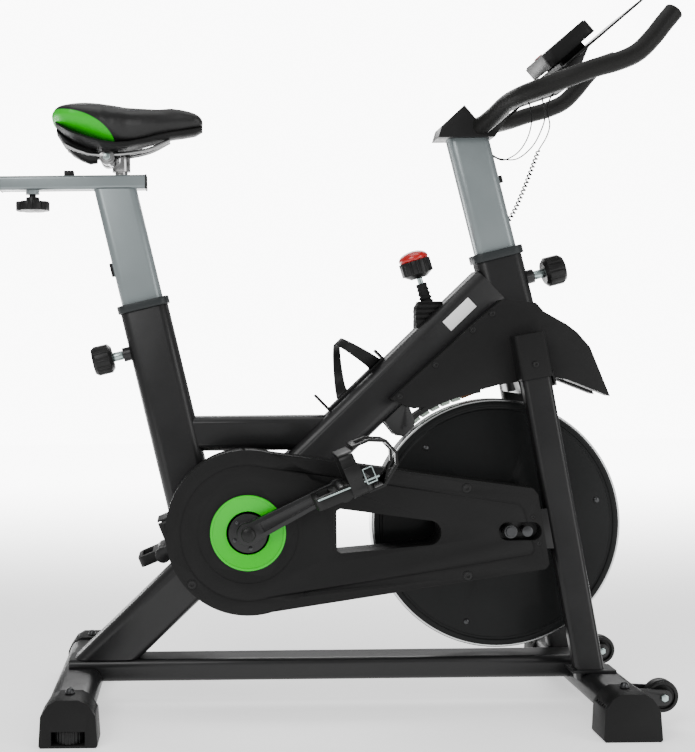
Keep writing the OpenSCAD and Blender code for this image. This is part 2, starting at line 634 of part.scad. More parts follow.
module flywheel_discs() color(black) bike() translate([wheelbase, 0, flywheel_height]) for (s = [-1, 1]) rotate([90, 0, 0]) rotate_extrude()
  polygon([[hub_r, s * flywheel_width / 2], [fly_r - 4, s * flywheel_width / 2], [fly_r - 4, s * (flywheel_width / 2 + 2)], [fly_r - 13, s * (flywheel_width / 2 + disc_t)], [fly_r - 14, s * (flywheel_width / 2 + 1)],
    [fly_r - 18, s * (flywheel_width / 2 + 1)], [fly_r - 19, s * (flywheel_width / 2 + disc_t)], [hub_r, s * (flywheel_width / 2 + disc_t)]]);

module flywheel_pulley() color(zinc) bike() difference() {
  union() {
    across(wheelbase, flywheel_height, -pulley_low, -pulley_high, wheel_pulley_r);
    across(wheelbase, flywheel_height, -pulley_low, -pulley_low - 2, wheel_pulley_r + 2);
    across(wheelbase, flywheel_height, -pulley_high, -pulley_high + 2, wheel_pulley_r + 2);
  }
  across(wheelbase, flywheel_height, -20, -120, hub_r);
}

module crank_axle() color(zinc) bike() across(0, bb_z, -crank_in - 2, crank_in + 2, axle_r);

module crank_pulley() color(plastic_dark) bike() difference() {
  across(0, bb_z, -pulley_low, -pulley_high, crank_pulley_r);
  across(0, bb_z, -pulley_low + 1, -pulley_low - 5, crank_pulley_r - 10);
  across(0, bb_z, -pulley_high - 1, -pulley_high + 5, crank_pulley_r - 10);
  across(0, bb_z, -20, -120, axle_r);
  for (a = [0 : 72 : 288]) translate([0, 0, bb_z]) rotate([0, a, 0]) across(56, 0, -20, -120, 18);
}

module crank(s) translate([0, 0, bb_z]) rotate([0, s < 0 ? -crank_angle : 180 - crank_angle, 0]) difference() {
  union() {
    across(0, 0, s * crank_in, s * crank_out, 19);
    across(crank_length, 0, s * crank_in, s * crank_out, 15);
    slab(s * crank_in, s * crank_out) polygon([[0, -17], [crank_length, -12], [crank_length, 12], [0, 17]]);
    across(0, 0, s * crank_out, s * (crank_out + 3), 12);
    // hub that shows inside the ring
    across(0, 0, s * (crank_in - 22), s * crank_in, 33);
    // spindle
    across(crank_length, 0, s * crank_out, s * (pedal_out - 8), spindle_r);
    across(crank_length, 0, s * crank_out, s * (pedal_in - 1), 9);
  }
  slab(s * (crank_out - 2), s * (crank_out + 1)) polygon([[26, -8], [crank_length - 24, -5], [crank_length - 24, 5], [26, 8]]);
  across(0, 0, s * 20, s * (crank_in + 2), axle_r);
}
module crank_right() color(black) bike() crank(-1);
module crank_left() color(black) bike() crank(1);

module at_pedal(s) translate([-s * crank_length * cos(crank_angle), 0, bb_z - s * crank_length * sin(crank_angle)]) rotate([0, -22, 0]) children();
module pedal(s) at_pedal(s) difference() {
  translate([0, s * pedal_mid, 0]) union() {
    bar(98, pedal_len, 12, -10, 10);
    rotate([90, 0, 0]) cylinder(r = 13, h = pedal_len, center = true);
  }
  for (k = [-1, 1]) translate([k * 30, s * pedal_mid, 0]) {
    bar(22, pedal_len - 28, 4, -20, 20);
  }
  across(0, 0, s * (pedal_in - 2), s * (pedal_out - 7), spindle_r + shaft_gap);
}
module pedal_right() color(plastic_dark) bike() pedal(-1);
module pedal_left() color(plastic_dark) bike() pedal(1);

module toe_cage(s) at_pedal(s) translate([0, s * pedal_mid, 0]) {
  // front cup
  difference() {
    side(0, pedal_len - 14)
      polygon([[38, -14], [66, -14], [98, 10], [104, 30], [96, 54], [70, 66], [40, 66], [40, 62], [68, 62], [92, 51], [100, 30], [94, 12], [64, -10], [38, -10]]);
    translate([49, -pedal_len / 2 + 21, -9.9]) cube([36, pedal_len - 42, 100]);
    translate([70, -pedal_len / 2 + 21, 0]) cube([60, pedal_len - 42, 44]);
  }
  // strap with its buckle
  translate([12, 0, 24]) rotate([90, 0, 90]) linear_extrude(24) difference() { rounded(pedal_len + 6, 74, 12); square([pedal_len, 68], center = true); }
  translate([12, s > 0 ? pedal_len / 2 : -pedal_len / 2 - 5.5, 16]) cube([26, 5.5, 22]);
}
module toe_cage_right() color(rubber) bike() toe_cage(-1);
module toe_cage_left() color(rubber) bike() toe_cage(1);

// ---------- seat post, slider and saddle ----------

// post with a lengthwise groove and index holes on its back (dir = -1) or front (dir = 1)
module post_shape(depth, z0, z1, g0, g1, dir) difference() {
  union() {
    pipe(depth, post_width, post_r, z0, z1, 2.5);
    translate([dir > 0 ? depth / 2 - 7 : -depth / 2, -10, z0]) cube([7, 20, z1 - z0]);
  }
  translate([dir > 0 ? depth / 2 - 4.5 : -depth / 2 - 1, -7, g0]) cube([5.5, 14, g1 - g0]);
  for (z = [g0 + 10 : 20 : g1 - 8]) translate([dir * (depth / 2 - 8), 0, z]) rotate([0, 90 * dir, 0]) cylinder(r = 6.4, h = 10);
}

module seat_post() color(steel_grey) bike() {
  difference() {
    at(seat_x, seat_z, -seat_lean) post_shape(seat_post_depth, -post_in, post_out + 20, -160, -10, -1);
    translate([-500, -100, slider_low]) cube([600, 200, 200]);
  }
  at(seat_x, seat_z, -seat_lean) translate([-seat_post_depth / 2 - 4, -8, 69]) cube([5, 16, 23]);
}

module slider_tube() color(steel_grey) bike() {
  difference() {
    translate([slider_rear, 0, (slider_low + slider_high) / 2]) rotate([0, 90, 0]) linear_extrude(slider_length) rounded(slider_high - slider_low, slider_w, 6);
    translate([slider_rear + 4, 0, (slider_low + slider_high) / 2]) rotate([0, 90, 0]) linear_extrude(slider_length - 8) rounded(slider_high - slider_low - 2 * slider_wall, slider_w - 2 * slider_wall, 3.5);
    translate([slot_rear, -pole_r - 1, slider_high - 6]) cube([slot_front - slot_rear, 2 * pole_r + 2, 10]);
    translate([slider_knob_x, 0, slider_low - 2]) cylinder(r = 6 + clear, h = 6);
  }
  translate([-315.5, -9, slider_high]) cube([15, 18, 9]);
  // threaded boss under the tube
  translate([slider_knob_x, 0, slider_low - 7]) difference() { cylinder(r = 12, h = 7); translate([0, 0, -1]) cylinder(r = 6 + shaft_gap, h = 9); }
}

module seat_carriage() color(chrome) bike() {
  translate([carriage_rear, 0, (slider_low + slider_high) / 2]) rotate([0, 90, 0]) linear_extrude(carriage_front - carriage_rear)
    rounded(slider_high - slider_low - 2 * slider_wall - 1, slider_w - 2 * slider_wall - 1, 3);
  translate([pole_x, 0, slider_high - 8]) cylinder(r = pole_r, h = 41);
  saddle_clamp();
}

module saddle_clamp() difference() {
  union() {
    translate([pole_x, 0, 948]) cylinder(r = 16, h = 26);
    across(tilt_x, tilt_z, -11, 11, 11);
    slab(-11, 11) polygon([[tilt_x, tilt_z - 11], [pole_x, 952], [pole_x, 974], [tilt_x, tilt_z + 8]]);
  }
  translate([pole_x, 0, 900]) cylinder(r = pole_r, h = 100);
  across(tilt_x, tilt_z, -30, 30, 4 + shaft_gap);
}

module saddle_rails() color(chrome) bike() {
  for (s = [-1, 1]) {
    sweep(smooth([[saddle_rear + 22, s * 38, 994], [saddle_rear + 44, s * 31, 984], [-264, s * 22, 978], [-212, s * 22, 978], [-160, s * 17, 984], [-112, s * 9, 996]], 5), 7, 16);
    across(tilt_x, tilt_z, s * 12, s * 30, 12);
    across(tilt_x, tilt_z, s * 30, s * 35, 7);
  }
  across(tilt_x, tilt_z, -33, 33, 4);
}

module saddle_plan(d) {
  hull() {
    for (s = [-1, 1]) translate([saddle_rear + 46, s * (saddle_width / 2 - 38)]) circle(38 - d);
    for (s = [-1, 1]) translate([saddle_rear + 112, s * 26]) circle(30 - d);
  }
  hull() {
    for (s = [-1, 1]) translate([saddle_rear + 112, s * 26]) circle(30 - d);
    translate([saddle_nose - 26, 0]) circle(26 - d);
  }
}
module saddle_base() color(plastic_dark) bike() translate([0, 0, 989]) linear_extrude(12) saddle_plan(7);
module saddle_cushion() color(green) bike() {
  translate([0, 0, 1001]) linear_extrude(10) saddle_plan(2);
  translate([0, 0, 1011]) linear_extrude(32) saddle_plan(0);
  translate([0, 0, 1043]) linear_extrude(9) saddle_plan(3);
  translate([0, 0, 1052]) linear_extrude(6) saddle_plan(9);
  translate([0, 0, 1058]) linear_extrude(3) saddle_plan(17);
}

// ---------- knobs ----------

module pin_shape(d) {
  translate([0, 0, -d]) cylinder(r = 6, h = 20 + d);
  translate([0, 0, 14]) cylinder(r = 8, h = 18);
}
module star_knob(z) difference() {
  union() {
    translate([0, 0, z]) cylinder(r1 = 20, r2 = 26.5, h = 6);
    translate([0, 0, z + 6]) cylinder(r = 26.5, h = 24);
    translate([0, 0, z + 30]) cylinder(r1 = 26.5, r2 = 22, h = 6);
  }
  for (a = [0 : 30 : 330]) rotate(a) translate([28, 0, z - 1]) cylinder(r = 3, h = 40);
}
module seat_pin_axis() at(seat_x, seat_z, -seat_lean) translate([-seat_depth / 2, 0, -71]) rotate([0, -90, 0]) children();
module front_pin_axis() at(front_x, front_z, -front_lean) translate([front_depth / 2, 0, -45]) rotate([0, 90, 0]) children();
nose = sleeve_wall + slide_gap + 3.5;
module seat_pin() color(zinc) bike() seat_pin_axis() pin_shape(nose);
module front_pin() color(zinc) bike() front_pin_axis() pin_shape(nose);
module seat_knob() color(black) bike() seat_pin_axis() star_knob(32);
module front_knob() color(black) bike() front_pin_axis() star_knob(32);
module slider_knob() color(black) bike() translate([slider_knob_x, 0, 0]) difference() {
  union() {
    translate([0, 0, 881]) cylinder(r = 30, h = 16);
    translate([0, 0, 896]) cylinder(r = 6, h = 22);
    translate([0, 0, 897]) cylinder(r = 12, h = 8);
  }
  for (a = [0 : 45 : 315]) rotate(a) translate([33, 0, 870]) cylinder(r = 6, h = 40);
}

// ---------- handlebar ----------

module front_post() color(steel_grey) bike() {
  difference() {
    at(front_x, front_z, -front_lean) post_shape(front_post_depth, -110, front_out + 20, -90, 20, 1);
    translate([200, -100, 1000]) cube([600, 200, 200]);
  }
  at(front_x, front_z, -front_lean) translate([front_post_depth / 2 - 1, -7, 130]) cube([7, 14, 12]);
}

module console_at() at(568.5, 1157.5, -40) children();

module handlebar_mount() color(black) bike() difference() {
  union() {
    slab(-32, 32) polygon([[346, 1000], [446, 1000], [464, 1028], [450, 1052], [436, 1069], [422, 1084], [383, 1048], [352, 1020]]);
    slab(-32, 32) polygon([[430, 1060], [497, 1107], [506, 1099], [446, 1052]]);
    // thin plate between the horns, slotted for the console lead
    difference() {
      slab(-160, 160) polygon([[500, 1075], [530, 1090], [612, 1117], [612, 1111], [530, 1084], [500, 1069]]);
      translate([555, -6, 1060]) cube([37, 12, 80]);
    }
    slab(-13, 13) polygon([[430, 1002], [468, 1030], [508, 1070], [556, 1096], [606, 1132], [622, 1170], [556, 1120], [505, 1106], [495, 1106], [436, 1064]]);
  }
  console_at() translate([-200, -100, -28]) cube([400, 200, 100]);
}

module handlebar() color(rubber) bike() sweep(smooth(concat([for (i = [len(bar_half) - 1 : -1 : 1]) [bar_half[i][0], -bar_half[i][1], bar_half[i][2]]], bar_half), 3), grip_diameter, 28);

module console_case() color(plastic_dark) bike() console_at() difference() {
  union() {
    bar(100, 130, 16, -14, 12);
    bar(94, 124, 13, 12, 14);
    bar(60, 70, 8, -24, -14);
  }
  translate([8, 0, 0]) bar(56, 96, 5, 12.5, 15);
  translate([-36, 0, 4]) cylinder(r = 8 + clear, h = 20);
}
module console_button() color(red) bike() console_at() translate([-36, 0, 7]) cylinder(r = 8, h = 9);
module tablet_rest() color(plastic_dark) bike() console_at() {
  translate([50, 0, 0]) bar(174, 190, 20, -28, -24);
  translate([-37, -60, -24]) cube([5, 120, 8]);
}

// ---------- cords ----------

module thin_wires() color(rubber) bike() {
  sweep(smooth(wire_right, 6), wire_d, 8);
  sweep(smooth(wire_left, 6), wire_d, 8);
  sweep(smooth(lead_route, 6), wire_d, 8, [0, 1, 0]);
}
module curly_cord() color(rubber) bike() sweep(smooth(curl_route, 5), curl_d, 12, [0, 1, 0]);

main_beam();
seat_tube();
cross_tube();
head_tube();
fork_leg_right();
fork_leg_left();
base_tube();
rear_stabilizer();
front_stabilizer();
end_caps();
frame_fasteners();
post_collars();
belt_guard_outer();
belt_guard_inner();
guard_ring();
cover_screws();
head_shroud();
drive_belt();
brake_housing();
brake_bellows();
bottle_cage();
flywheel_axle();
transport_wheel_right();
transport_wheel_left();
leveller_right();
leveller_left();
flywheel();
flywheel_discs();
flywheel_pulley();
crank_axle();
crank_pulley();
crank_right();
crank_left();
pedal_right();
pedal_left();
toe_cage_right();
toe_cage_left();
brake_rod();
brake_knob();
brake_arm();
brake_magnets();
seat_post();
slider_tube();
seat_carriage();
saddle_rails();
saddle_base();
saddle_cushion();
seat_pin();
seat_knob();
front_pin();
front_knob();
slider_knob();
front_post();
handlebar_mount();
handlebar();
console_case();
console_button();
tablet_rest();
thin_wires();
curly_cord();
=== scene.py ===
# %% [markdown]
# # Indoor cycling bike
# The bike's steel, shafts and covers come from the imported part. This lesson gives every piece its
# finish, rounds the sharp edges as a mould or a paint coat would, and adds the soft and thin pieces:
# the stuffed saddle, the foam handlebar, the thin wires and the curly cord.

# %% Load the part
import bmesh
import bpy
import json
import math
import numpy as np
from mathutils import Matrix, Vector


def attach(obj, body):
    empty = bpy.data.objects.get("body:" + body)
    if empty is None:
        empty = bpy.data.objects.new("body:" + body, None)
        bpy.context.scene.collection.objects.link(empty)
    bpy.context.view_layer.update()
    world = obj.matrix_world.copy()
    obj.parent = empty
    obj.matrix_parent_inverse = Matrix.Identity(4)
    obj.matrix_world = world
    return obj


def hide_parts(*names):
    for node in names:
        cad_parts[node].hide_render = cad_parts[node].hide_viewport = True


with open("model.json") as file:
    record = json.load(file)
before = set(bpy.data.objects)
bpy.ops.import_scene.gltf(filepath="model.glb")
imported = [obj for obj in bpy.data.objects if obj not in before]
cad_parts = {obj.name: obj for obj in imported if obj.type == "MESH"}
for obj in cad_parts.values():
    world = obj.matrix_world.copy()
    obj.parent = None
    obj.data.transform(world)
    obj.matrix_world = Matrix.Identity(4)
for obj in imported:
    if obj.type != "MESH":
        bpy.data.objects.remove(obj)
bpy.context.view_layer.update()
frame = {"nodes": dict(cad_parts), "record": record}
record = frame["record"]
slot_of = {row["node"]: row["material_slot"] for row in record["subparts"]}
body_of = {node: body for body, nodes in record["behaviour"]["bodies"].items() for node in nodes}
joint_of = {joint["name"]: joint for joint in record["behaviour"]["joints"]}

# %% [markdown]
# Lengths are in metres. The bottom bracket axle is the point that a bike is set out from, so the
# places below are measured from it, as they are on the maker's drawing, and `from_bracket` turns
# them into the part's own frame.

# %% The reference point
bracket = Vector(joint_of["crank_spin"]["pos_m"])
hub = Vector(joint_of["flywheel_spin"]["pos_m"])


def from_bracket(x, y, z):
    """A place in millimetres from the bracket axle (z from the floor), in the part's metres."""
    return Vector((bracket.x + x / 1000, y / 1000, z / 1000))


print("bracket at", tuple(bracket), "hub at", tuple(hub))

# %% [markdown]
# ## Camera
# The bike is seen square from its right side, from a little over two metres away and from hip
# height. The camera looks level, so upright lines stay upright, and a small lens shift frames the
# bike, as a view camera does in a product studio.

# %% Place the camera
camera_data = bpy.data.cameras.new("studio_camera")
camera = bpy.data.objects.new("studio_camera", camera_data)
bpy.context.collection.objects.link(camera)
camera.location = from_bracket(-77.5, -2200, 633)
camera.rotation_euler = (math.radians(90), math.radians(0.6), 0)
camera_data.lens = 58.98
camera_data.sensor_width = 36
camera_data.shift_x = 0.196
camera_data.shift_y = -0.037
bpy.context.scene.camera = camera
print("camera at", tuple(camera.location))

# %% [markdown]
# ## Cords
# Four thin cords hang at the handlebar post. Two pulse sensor wires swing down from the bar and from
# its centre plate and go into the front of the post. The console's lead drops to a curly cord, which
# ends lower down the post. A smooth line through a few chosen points gives each its route. The curly
# cord is a wire wound round its route, turn after turn, so it is made by a loop.

# %% Cord routes
WIRE = 0.0024
COIL_WIRE = 0.0028
COIL_OUTER = 0.009
COIL_TURNS = 19
wire_right = [(488, -177, 1038), (500, -152, 1016), (503, -122, 998), (499, -76, 975), (483, -34, 960),
              (460, -10, 964), (446, -9, 971)]
wire_left = [(512, 6, 1078), (521, 7, 1044), (515, 8, 1008), (497, 9, 979), (472, 10, 965), (456, 10, 969),
             (445, 10, 976)]
lead_route = [(586, 0, 1122), (570, 0, 1098), (551, 0, 1070), (547, 0, 1048), (551, 0, 1026),
              (545, 0, 1004), (531, 0, 981)]
curl_route = [(531, 0, 981), (516, 0, 942), (501, 0, 905), (487, 0, 874), (474, 0, 852)]


def smooth_line(route, steps):
    """Points on a smooth line through the route, as the part's own cords follow it."""
    p = [from_bracket(*q) for q in route]
    p = [2 * p[0] - p[1]] + p + [2 * p[-1] - p[-2]]
    line = []
    for i in range(len(p) - 3):
        a, b, c, d = p[i:i + 4]
        for k in range(steps):
            t = k / steps
            line.append(0.5 * (2 * b + (c - a) * t + (2 * a - 5 * b + 4 * c - d) * t ** 2
                               + (3 * b - a - 3 * c + d) * t ** 3))
    line.append(p[-2])
    return line


def line_length(line):
    return sum((b - a).length for a, b in zip(line, line[1:]))


print("wire lengths", [round(line_length(smooth_line(route, 12)), 3)
                       for route in (wire_right, wire_left, lead_route)])

# %% Make the cords
def round_cord(name, line, diameter):
    """A cord of round section: a curve of one open spline with a round bevel."""
    data = bpy.data.curves.new(name, "CURVE")
    data.dimensions = "3D"
    data.bevel_depth = diameter / 2
    data.bevel_resolution = 3
    data.use_fill_caps = True
    spline = data.splines.new("POLY")
    spline.points.add(len(line) - 1)
    for point, place in zip(spline.points, line):
        point.co = (*place, 1)
    cord = bpy.data.objects.new(name, data)
    bpy.context.collection.objects.link(cord)
    return cord


def wound(line, turns, radius, per_turn=14):
    """A helix of that many turns round a line that lies in the mid-plane."""
    total = line_length(line)
    steps = turns * per_turn
    places, run, i = [], 0.0, 0
    for k in range(steps + 1):
        want = total * k / steps
        while i < len(line) - 2 and run + (line[i + 1] - line[i]).length < want:
            run += (line[i + 1] - line[i]).length
            i += 1
        along = (line[i + 1] - line[i]).normalized()
        centre = line[i] + along * (want - run)
        across = Vector((0, 1, 0))
        up = along.cross(across)
        swell = radius * min(1, k / 6, (steps - k) / 6)
        turn = 2 * math.pi * k / per_turn
        places.append(centre + (across * math.cos(turn) + up * math.sin(turn)) * swell)
    return places


coil_line = wound(smooth_line(curl_route, 12), COIL_TURNS, (COIL_OUTER - COIL_WIRE) / 2)
cord_rows = [
    ("sensor_wire_right", smooth_line(wire_right, 12), WIRE, "thin_wires"),
    ("sensor_wire_left", smooth_line(wire_left, 12), WIRE, "thin_wires"),
    ("console_lead", smooth_line(lead_route, 12), WIRE, "thin_wires"),
    ("curly_cord_coil", coil_line, COIL_WIRE, "curly_cord"),
]
cords = []
for name, line, diameter, node in cord_rows:
    cord = round_cord(name, line, diameter)
    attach(cord, "front_post")
    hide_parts(node)
    cords.append(cord)
    print(name, "is", round(line_length(line), 3), "m long")

# %% [markdown]
# ## Finishes
# Two effects repeat from one finish to the next, so each is a node group with named sockets. A fine
# grain gives powder coat and moulded plastic their texture, and a soft wear mask lightens and dulls a
# surface in patches. A group gives out masks only, and each material decides what to do with them.

# %% Shared effects
GRAIN_DEPTH = 0.0004


def new_group(name, inputs, outputs):
    group = bpy.data.node_groups.new(name, "ShaderNodeTree")
    for label, value in inputs:
        socket = group.interface.new_socket(label, in_out="INPUT", socket_type="NodeSocketFloat")
        socket.default_value = value
    for label in outputs:
        group.interface.new_socket(label, in_out="OUTPUT", socket_type="NodeSocketFloat")
    return group, group.nodes.new("NodeGroupInput"), group.nodes.new("NodeGroupOutput")


def noise_node(tree, detail):
    """Noise on the piece's own coordinates."""
    coords = tree.nodes.new("ShaderNodeTexCoord")
    noise = tree.nodes.new("ShaderNodeTexNoise")
    noise.inputs["Detail"].default_value = detail
    tree.links.new(coords.outputs["Object"], noise.inputs["Vector"])
    return noise


def make_grain():
    """Fine bumps of powder coat or a spark-eroded mould. Size is the bumps per metre."""
    group, given, out = new_group("fine_grain", [("Size", 900)], ["Height"])
    noise = noise_node(group, 2)
    group.links.new(given.outputs["Size"], noise.inputs["Scale"])
    group.links.new(noise.outputs["Fac"], out.inputs["Height"])
    return group


def make_wear():
    """Broad soft patches where hands and cloths have polished or dulled a surface."""
    group, given, out = new_group("soft_wear", [("Size", 9), ("Low", 0.0), ("High", 1.0)], ["Mask"])
    noise = noise_node(group, 4)
    group.links.new(given.outputs["Size"], noise.inputs["Scale"])
    spread = group.nodes.new("ShaderNodeMapRange")
    spread.inputs["From Min"].default_value = 0.35
    spread.inputs["From Max"].default_value = 0.65
    group.links.new(noise.outputs["Fac"], spread.inputs["Value"])
    group.links.new(given.outputs["Low"], spread.inputs["To Min"])
    group.links.new(given.outputs["High"], spread.inputs["To Max"])
    group.links.new(spread.outputs["Result"], out.inputs["Mask"])
    return group


def add_group(tree, group, **values):
    """A use of a group in a material, with the values of its sockets."""
    node = tree.nodes.new("ShaderNodeGroup")
    node.node_tree = group
    for label, value in values.items():
        node.inputs[label].default_value = value
    return node


def add_grain(tree, size, strength):
    """The fine grain as a bump on a material's surface."""
    fine = add_group(tree, grain_group, Size=size)
    bump = tree.nodes.new("ShaderNodeBump")
    bump.inputs["Strength"].default_value = strength
    bump.inputs["Distance"].default_value = GRAIN_DEPTH
    tree.links.new(fine.outputs["Height"], bump.inputs["Height"])
    tree.links.new(bump.outputs["Normal"], tree.nodes["Principled BSDF"].inputs["Normal"])


grain_group = make_grain()
wear_group = make_wear()
print("groups", grain_group.name, wear_group.name)

# %% A finish from its values
def finish(name, colour, roughness, metallic=0.0, coat=0.0, grain=0.0, grain_size=900, wear=0.06,
           gloss=0.5):
    """A material with grain as a fine bump and wear as small changes of roughness and colour."""
    material = bpy.data.materials.new(name)
    material.use_nodes = True
    tree = material.node_tree
    shader = tree.nodes["Principled BSDF"]
    shader.inputs["Metallic"].default_value = metallic
    shader.inputs["Coat Weight"].default_value = coat
    shader.inputs["Coat Roughness"].default_value = 0.15
    shader.inputs["Specular IOR Level"].default_value = gloss
    worn = add_group(tree, wear_group, Low=max(0.02, roughness - wear), High=min(1.0, roughness + wear))
    tree.links.new(worn.outputs["Mask"], shader.inputs["Roughness"])
    tint = add_group(tree, wear_group, Size=5)
    mix = tree.nodes.new("ShaderNodeMix")
    mix.data_type = "RGBA"
    mix.inputs["A"].default_value = (*[c * 0.93 for c in colour], 1)
    mix.inputs["B"].default_value = (*[min(1, c * 1.07) for c in colour], 1)
    tree.links.new(tint.outputs["Mask"], mix.inputs["Factor"])
    tree.links.new(mix.outputs["Result"], shader.inputs["Base Color"])
    if grain:
        add_grain(tree, grain_size, grain)
    return material


finishes = {
    "frame_paint": finish("satin_black_powder_coat", (0.0065, 0.0065, 0.0068), 0.38, coat=0.08, grain=0.2,
                          grain_size=1400, gloss=0.34),
    "post_paint": finish("silver_grey_powder_coat", (0.20, 0.23, 0.235), 0.34, metallic=0.4, coat=0.2,
                         grain=0.12, grain_size=1600),
    "dark_plastic": finish("textured_black_plastic", (0.0095, 0.0095, 0.0095), 0.5, grain=0.5,
                           grain_size=1100, gloss=0.13),
    "collar_plastic": finish("dark_grey_plastic", (0.011, 0.014, 0.015), 0.45, grain=0.3, gloss=0.35),
    "green_plastic": finish("lime_green_plastic", (0.006, 0.52, 0.0), 0.36, coat=0.08, grain=0.15,
                            gloss=0.35),
    "black_plastic": finish("smooth_black_plastic", (0.006, 0.006, 0.006), 0.38, grain=0.15, gloss=0.26),
    "zinc": finish("zinc_plate", (0.40, 0.48, 0.47), 0.30, metallic=1.0, grain=0.1),
    "black_oxide": finish("blackened_steel", (0.055, 0.056, 0.058), 0.32, metallic=0.9, grain=0.1),
    "chrome": finish("polished_chrome", (0.35, 0.35, 0.35), 0.2, metallic=1.0, wear=0.04),
    "flywheel_rim": finish("ground_steel", (0.60, 0.61, 0.61), 0.27, metallic=1.0, wear=0.08),
    "flywheel_paint": finish("flywheel_black", (0.006, 0.0065, 0.0065), 0.42, coat=0.05, grain=0.2,
                             grain_size=1400, gloss=0.13),
    "black_rubber": finish("black_rubber", (0.008, 0.008, 0.008), 0.62, grain=0.3, gloss=0.18),
    "foam": finish("foam_grip", (0.0085, 0.0085, 0.008), 0.5, grain=0.45, grain_size=2200, gloss=0.16),
    "magnet": finish("pale_magnet_coat", (0.42, 0.50, 0.43), 0.45, grain=0.2),
    "red_plastic": finish("glossy_red_plastic", (0.42, 0.0, 0.0), 0.26, coat=0.25, wear=0.03),
    "brake_felt": finish("brown_felt", (0.13, 0.062, 0.032), 0.9, grain=1.0, grain_size=1500, gloss=0.2),
    "screen_glass": finish("grey_screen", (0.10, 0.125, 0.10), 0.08, coat=0.8, wear=0.02),
    "label_white": finish("blank_label", (0.80, 0.80, 0.80), 0.45, grain=0.1),
    "thread": finish("black_thread", (0.011, 0.011, 0.011), 0.7, gloss=0.3),
}
print(len(finishes), "finishes")

# %% [markdown]
# Stitched vinyl covers the saddle: black over the top and nose, and green on the two rear flanks. One
# material does both. A rounded flank shape in the saddle's side view picks the colour, and the grain
# is the fine pebble of coated cloth. The flank's edge carries real stitches, made later as pieces.

# %% Saddle vinyl
PANEL_MIDDLE = from_bracket(-335, 0, 986)
PANEL_HALF_LENGTH = 0.114
PANEL_HALF_HEIGHT = 0.064


def saddle_vinyl():
    material = bpy.data.materials.new("saddle_vinyl")
    material.use_nodes = True
    tree = material.node_tree
    shader = tree.nodes["Principled BSDF"]
    shader.inputs["Coat Weight"].default_value = 0.05
    shader.inputs["Specular IOR Level"].default_value = 0.32
    coords = tree.nodes.new("ShaderNodeTexCoord")
    mapping = tree.nodes.new("ShaderNodeMapping")
    mapping.inputs["Location"].default_value = (-PANEL_MIDDLE.x / PANEL_HALF_LENGTH, 0,
                                                -PANEL_MIDDLE.z / PANEL_HALF_HEIGHT)
    mapping.inputs["Scale"].default_value = (1 / PANEL_HALF_LENGTH, 0, 1 / PANEL_HALF_HEIGHT)
    reach = tree.nodes.new("ShaderNodeVectorMath")
    reach.operation = "LENGTH"
    inside = tree.nodes.new("ShaderNodeMapRange")
    inside.inputs["From Min"].default_value = 1.0
    inside.inputs["From Max"].default_value = 0.985
    mix = tree.nodes.new("ShaderNodeMix")
    mix.data_type = "RGBA"
    mix.inputs["A"].default_value = (0.0065, 0.0065, 0.0065, 1)
    mix.inputs["B"].default_value = (0.0, 0.43, 0.0, 1)
    worn = add_group(tree, wear_group, Low=0.34, High=0.46)
    add_grain(tree, 1300, 0.5)
    link = tree.links.new
    link(coords.outputs["Object"], mapping.inputs["Vector"])
    link(mapping.outputs["Vector"], reach.inputs[0])
    link(reach.outputs["Value"], inside.inputs["Value"])
    link(inside.outputs["Result"], mix.inputs["Factor"])
    link(mix.outputs["Result"], shader.inputs["Base Color"])
    link(worn.outputs["Mask"], shader.inputs["Roughness"])
    return material


finishes["saddle_vinyl"] = saddle_vinyl()
print("saddle vinyl, flank middle at", tuple(PANEL_MIDDLE))

# %% [markdown]
# ## Rounded copies of the steel and the covers
# The part's edges are sharp, but paint, moulding and grinding round every real edge, and the thin
# highlight along it is what makes a part look made. Each node gets a copy: its loose triangles are
# merged, flat faces are joined, and a narrow bevel runs along the sharp edges. The copy then stands
# for the node. The part itself is never changed.

# %% Helpers for modelling
SIDES = ((1, "left"), (-1, "right"))


def only(piece):
    """Selects one piece alone, in object mode."""
    if bpy.context.object and bpy.context.object.mode != "OBJECT":
        bpy.ops.object.mode_set(mode="OBJECT")
    bpy.ops.object.select_all(action="DESELECT")
    piece.select_set(True)
    bpy.context.view_layer.objects.active = piece


def settle(piece, material, body, nodes=()):
    """Puts a finished piece's place in its mesh, gives it its finish and joins it to its body."""
    only(piece)
    bpy.ops.object.transform_apply(location=True, rotation=True, scale=True)
    piece.data.materials.clear()
    piece.data.materials.append(finishes[material])
    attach(piece, body)
    for node in nodes:
        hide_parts(node)
    return piece


def rounded_copy(node, width, segments=2, angle=32):
    """A copy of a node with its sharp edges rounded."""
    piece = frame["nodes"][node].copy()
    piece.data = piece.data.copy()
    piece.name = node + "_finished"
    piece.parent = None
    bpy.context.collection.objects.link(piece)
    only(piece)
    bpy.ops.object.mode_set(mode="EDIT")
    bpy.ops.mesh.select_all(action="SELECT")
    bpy.ops.mesh.remove_doubles(threshold=0.00001)
    bpy.ops.mesh.dissolve_limited(angle_limit=math.radians(0.6))
    bpy.ops.object.mode_set(mode="OBJECT")
    bevel = piece.modifiers.new("edge", "BEVEL")
    bevel.width = width
    bevel.segments = segments
    bevel.limit_method = "ANGLE"
    bevel.angle_limit = math.radians(angle)
    bevel.harden_normals = False
    bpy.ops.object.modifier_apply(modifier="edge")
    bpy.ops.object.shade_smooth_by_angle(angle=math.radians(30))
    return settle(piece, slot_of[node], body_of[node], [node])


